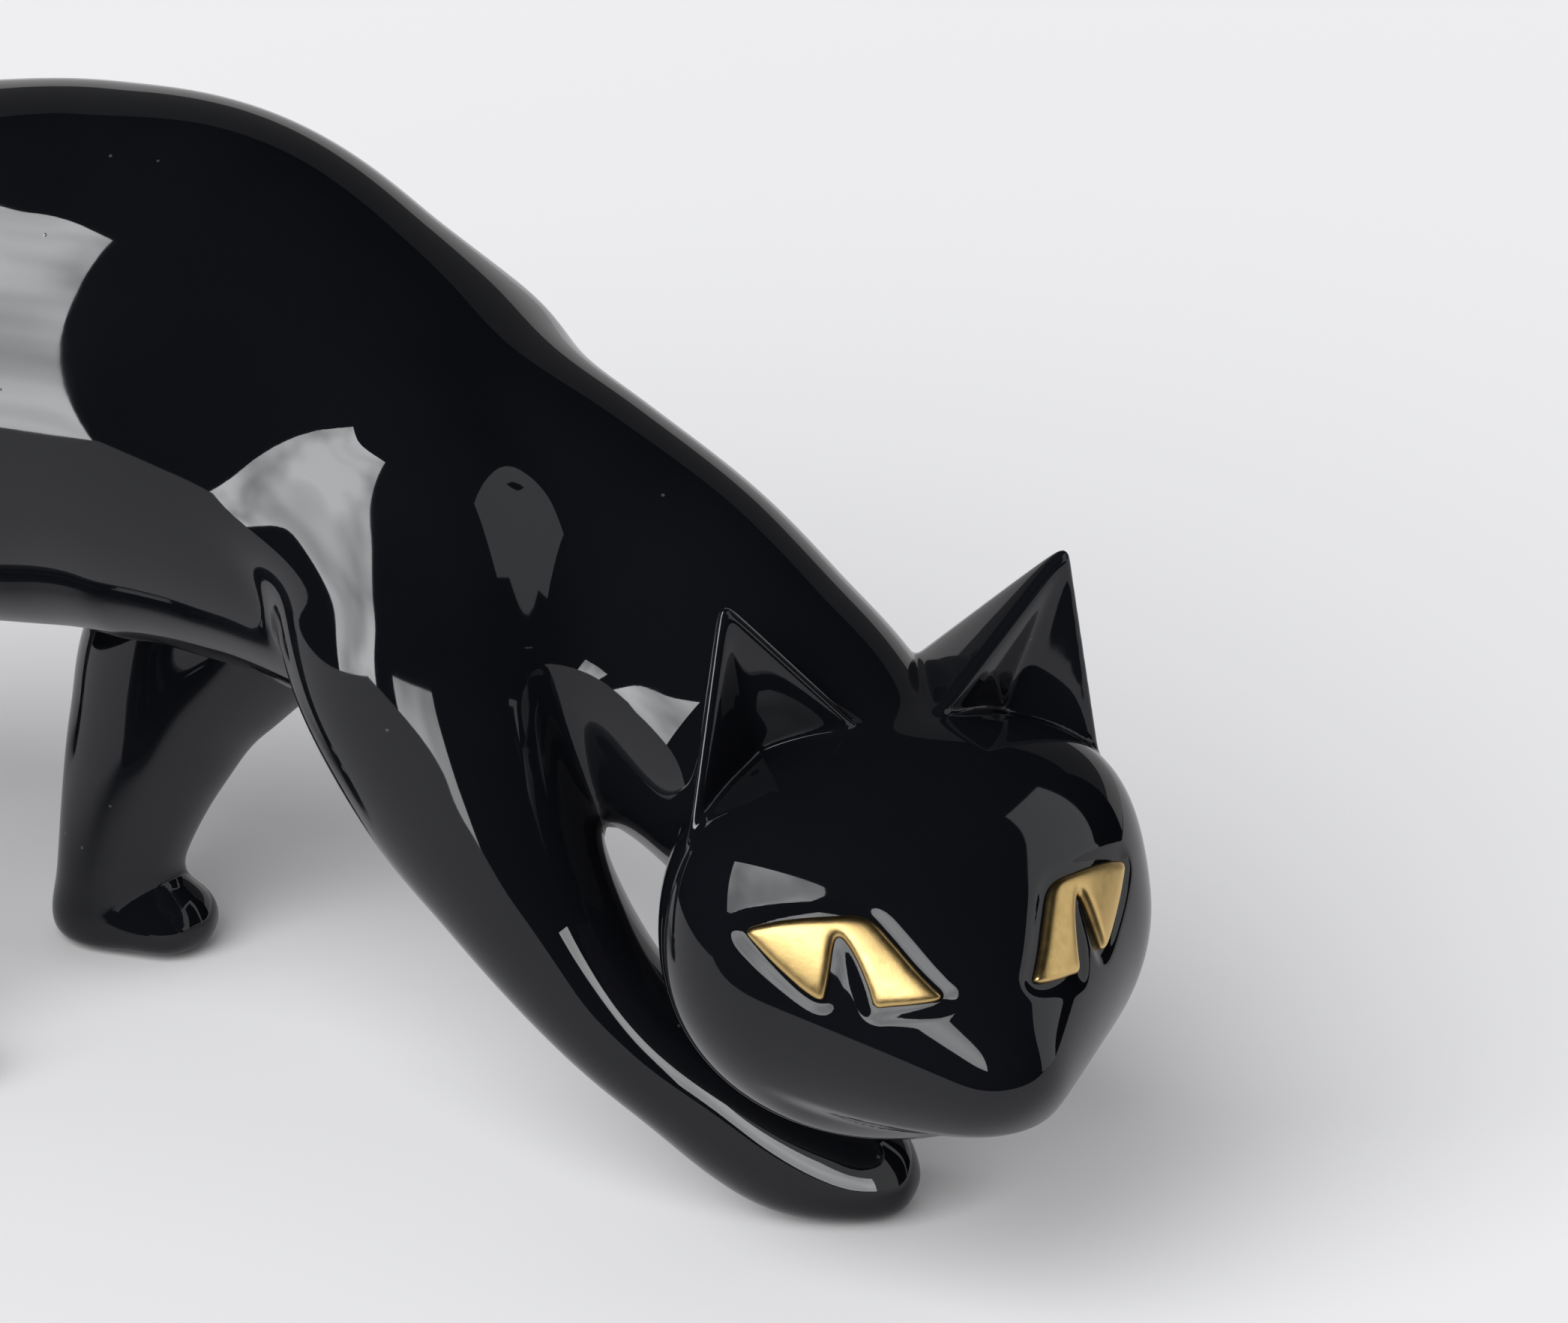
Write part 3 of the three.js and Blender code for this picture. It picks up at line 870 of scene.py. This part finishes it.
def only_reflected(card):
    """What surrounds the set and is seen in the glaze alone."""
    card.visible_camera = card.visible_diffuse = card.visible_shadow = False


def softbox(name, azimuth, elevation, distance, width, height, radiance, pieces, clouding, lean):
    """A panel of light facing the cat, seen only in the glaze of some pieces; it leans sideways."""
    azimuth += CAMERA_AZIMUTH
    middle = target + toward(azimuth, elevation) * distance
    sideways = Vector((-toward(azimuth, 0).y, toward(azimuth, 0).x, 0))
    across = sideways * width / 2
    rise = sideways.cross(target - middle).normalized() * height / 2 - sideways * lean / 2
    corners = [middle - across - rise, middle + across - rise, middle + across + rise, middle - across + rise]
    card = sheet(name, corners, (0.98, 0.99, 1), radiance, clouding)
    only_reflected(card)
    lit = bpy.data.collections.new(name + "_pieces")
    for piece in bpy.context.scene.objects:
        if piece.name.startswith(pieces) and piece.name.endswith("_piece"):
            lit.objects.link(piece)
    card.light_linking.receiver_collection = lit


ground = level("floor", 8, -6, -6, 6, 0)
ground.visible_glossy = False
# A table seen only in the glaze, of paper darker than the floor's: painted shade that dims the floor's
# reflection where the floor under the head and legs lies in shade. It still takes real light and the cat's
# own shadows.
only_reflected(level("table", 0.24, -2, -0.42, 2, 0.0001, (0.64, 0.64, 0.66)))
only_reflected(upright("backdrop", 2, 3, 0, 0.7, 0.6))
only_reflected(upright("valance", 2, 3, 0.7, 2.4, 0.12))

# The boxes' pieces are given by how their names begin
HEAD = ("head", "right_eye", "left_eye")
BODY = ("torso", "right_fore", "left_fore", "right_hind", "left_hind", "tail", "right_ear", "left_ear")
# name, azimuth from the camera's, elevation, distance, width, height, radiance, pieces, clouding, lean
SOFTBOXES = (
    ("key_box", -68.5, 11, 1.3, 0.54, 1.6, 7, BODY, 0.4, 0.14),
    ("leg_box", -33.5, -18, 1.3, 0.5, 0.34, 6, ("torso", "right_fore"), 0.35, 0.05),
    ("brow_box", -29, 21, 0.9, 0.8, 0.46, 3.9, HEAD, 0.3, 0),
    ("chest_card", 68, 22, 1.2, 1.75, 1.4, 0.8, BODY, 0, 0),
    ("cheek_card", 83, 20, 1.2, 0.75, 1.1, 0.9, HEAD, 0, 0),
    ("low_box", 27, 5, 1, 0.42, 0.38, 6, ("right_fore",), 0.3, 0),
)
for box in SOFTBOXES:
    softbox(*box)

sun = bpy.data.lights.new("sun", "SUN")
sun.angle = math.radians(60)
sun.energy = 3.6
lamp = aim(bpy.data.objects.new("sun", sun), target + toward(CAMERA_AZIMUTH - 32, 36) * 3, target)
lamp.visible_glossy = False

camera = bpy.data.cameras.new("camera")
camera.lens = CAMERA_LENS
camera.clip_start, camera.clip_end = 0.05, 50
view = aim(bpy.data.objects.new("camera", camera),
           target + toward(CAMERA_AZIMUTH, CAMERA_ELEVATION) * CAMERA_DISTANCE, target)
bpy.context.scene.camera = view

world = bpy.data.worlds.new("studio")
world.use_nodes = True
world.node_tree.nodes["Background"].inputs["Color"].default_value = (0.37, 0.37, 0.375, 1)
world.cycles_visibility.glossy = False
bpy.context.scene.world = world
bpy.context.scene.view_settings.view_transform = "Standard"
